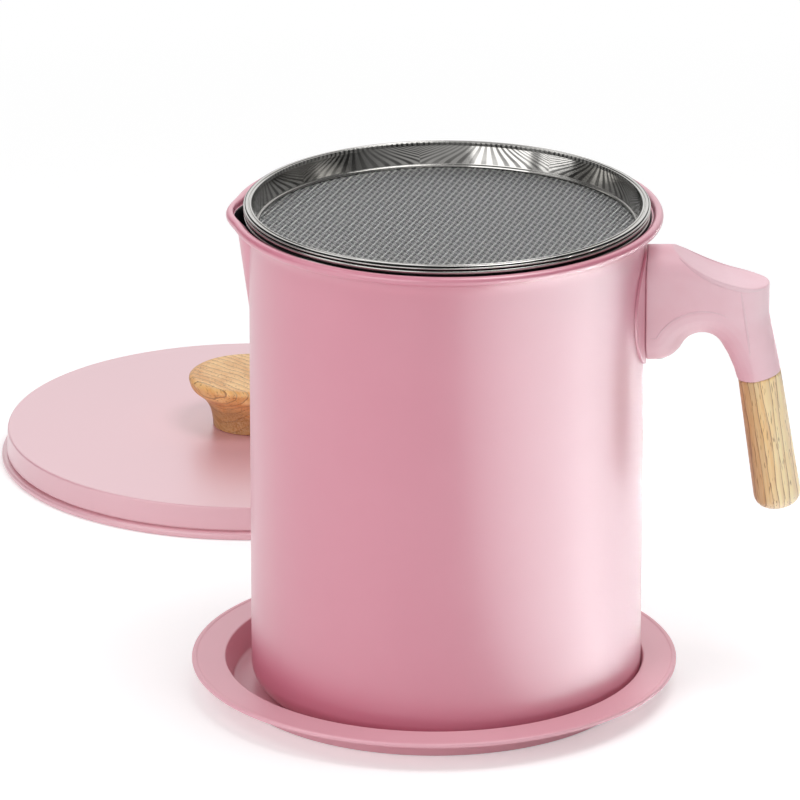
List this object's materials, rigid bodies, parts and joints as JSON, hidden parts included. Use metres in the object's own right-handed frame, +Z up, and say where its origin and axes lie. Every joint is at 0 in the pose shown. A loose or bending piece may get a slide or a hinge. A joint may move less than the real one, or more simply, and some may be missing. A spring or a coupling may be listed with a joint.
{
  "type": "bacon grease container",
  "caption": "Tall painted steel grease pot with a pouring lip, hook handle and fine mesh strainer, standing in a drip tray, with its knobbed lid beside it.",
  "frame": {"origin": "on the table plane, under the tray's flat foot, straight below the pot's axis", "axes": "+Z up along the pot's axis, +X towards the handle; the lid lies on the table towards +Y and -X"},
  "size_m": [0.2763, 0.393, 0.1686],
  "materials": {
    "pink_paint": "satin pink enamel on steel",
    "black_coating": "black non-stick coating on the pot's inside, which the dressed model adds as a thin skin",
    "pink_plastic": "matte pink moulded plastic",
    "wood": "light oak with brown streaks, satin lacquer",
    "stainless": "polished stainless steel",
    "wire_mesh": "fine woven stainless wire",
    "screw_steel": "zinc-plated steel",
    "brass": "plain turned brass",
    "seal": "dark silicone"
  },
  "bodies": {
    "tray": {"tray": "pink_paint"},
    "pot": {"pot_body": "pink_paint", "handle_bracket": "pink_paint", "handle_arm": "pink_plastic", "handle_screw": "screw_steel", "handle_grip": "wood", "grip_stud": "screw_steel"},
    "strainer": {"strainer_rim": "stainless", "strainer_mesh": "wire_mesh", "mesh_ring": "stainless"},
    "lid": {"lid_shell": "pink_paint", "lid_knob": "wood", "knob_insert": "brass", "knob_screw": "screw_steel", "knob_washer": "seal"}
  },
  "joints": [
    {"name": "pot_lift", "type": "slide", "parent": "tray", "child": "pot", "axis": [0, 0, 1], "range_m": [0, 0.12]},
    {"name": "strainer_lift", "type": "slide", "parent": "pot", "child": "strainer", "axis": [0, 0, 1], "range_m": [0, 0.06]},
    {"name": "lid_lift", "type": "slide", "parent": "tray", "child": "lid", "axis": [0, 0, 1], "range_m": [0, 0.2]}
  ]
}
